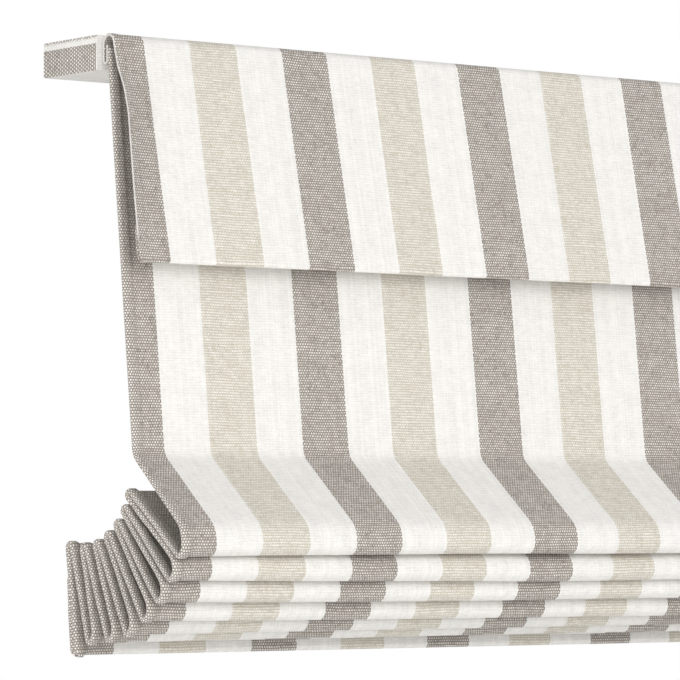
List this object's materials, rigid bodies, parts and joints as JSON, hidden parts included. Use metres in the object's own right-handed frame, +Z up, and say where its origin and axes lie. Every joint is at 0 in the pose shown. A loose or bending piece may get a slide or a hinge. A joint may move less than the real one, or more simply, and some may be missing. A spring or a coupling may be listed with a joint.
{
  "type": "roman blind",
  "caption": "Raised roman blind in wide woven stripes: a valance over a flat panel whose lower cloth is gathered in a fan of folds by lift tapes from a covered headrail.",
  "frame": {"origin": "on the wall face, in the middle of the wall screw holes of the two brackets", "axes": "+X along the blind to the right as seen from the room, +Y into the wall, +Z up"},
  "size_m": [0.846, 0.2223, 0.5613],
  "materials": {
    "shade_cloth": "coarse woven cotton and linen, wide stripes",
    "cover_cloth": "the same woven cloth, grey stripe with a pale edge",
    "channel_aluminium": "mill finish extrusion",
    "bar_aluminium": "flat drawn bar",
    "bracket_steel": "white powder coat",
    "screw_steel": "zinc plated",
    "shaft_steel": "drawn hexagonal bar",
    "moulded_plastic": "moulded white nylon",
    "motor_plastic": "moulded grey housing",
    "rod_fibreglass": "pultruded rod",
    "ring_plastic": "clear moulded ring",
    "grip_tape": "sewn hook and loop tape",
    "lift_webbing": "flat woven tape"
  },
  "bodies": {
    "headrail": {"headrail_channel": "channel_aluminium", "headrail_cover": "cover_cloth", "end_cap_left": "moulded_plastic", "end_cap_right": "moulded_plastic", "wall_bracket_left": "bracket_steel", "wall_bracket_right": "bracket_steel", "bracket_screws": "screw_steel", "hook_tape": "grip_tape", "loop_tape": "grip_tape", "valance": "shade_cloth", "flat_panel": "shade_cloth", "spring_motor": "motor_plastic", "lift_tape_left": "lift_webbing", "spool_cradle_left": "moulded_plastic", "lift_tape_centre": "lift_webbing", "spool_cradle_centre": "moulded_plastic", "lift_tape_right": "lift_webbing", "spool_cradle_right": "moulded_plastic"},
    "folds": {"fold_stack": "shade_cloth", "hem_bar": "bar_aluminium", "fold_rod_1": "rod_fibreglass", "fold_rod_2": "rod_fibreglass", "fold_rod_3": "rod_fibreglass", "fold_rod_4": "rod_fibreglass", "fold_rod_5": "rod_fibreglass", "fold_rod_6": "rod_fibreglass", "fold_rod_7": "rod_fibreglass", "tape_rings_left": "ring_plastic", "tape_rings_centre": "ring_plastic", "tape_rings_right": "ring_plastic", "gathered_tape_left": "lift_webbing", "gathered_tape_centre": "lift_webbing", "gathered_tape_right": "lift_webbing", "tape_stop_left": "moulded_plastic", "tape_stop_centre": "moulded_plastic", "tape_stop_right": "moulded_plastic"},
    "shaft": {"lift_shaft": "shaft_steel", "motor_hub": "shaft_steel", "tape_spool_left": "moulded_plastic", "tape_spool_centre": "moulded_plastic", "tape_spool_right": "moulded_plastic", "wound_tape_left": "lift_webbing", "wound_tape_centre": "lift_webbing", "wound_tape_right": "lift_webbing"}
  },
  "joints": [
    {"name": "stack_lift", "type": "slide", "parent": "headrail", "child": "folds", "axis": [0, 0, 1], "range_m": [0, 0.15], "deforming": ["flat_panel", "lift_tape_left", "lift_tape_centre", "lift_tape_right"]},
    {"name": "shaft_turn", "type": "hinge", "parent": "headrail", "child": "shaft", "pos_m": [0, -0.066, 0.042], "axis": [-1, 0, 0], "range_deg": [0, 740]}
  ],
  "couplings": [
    {"joint": "shaft_turn", "follows": "stack_lift", "rad_per_m": 85.47}
  ]
}
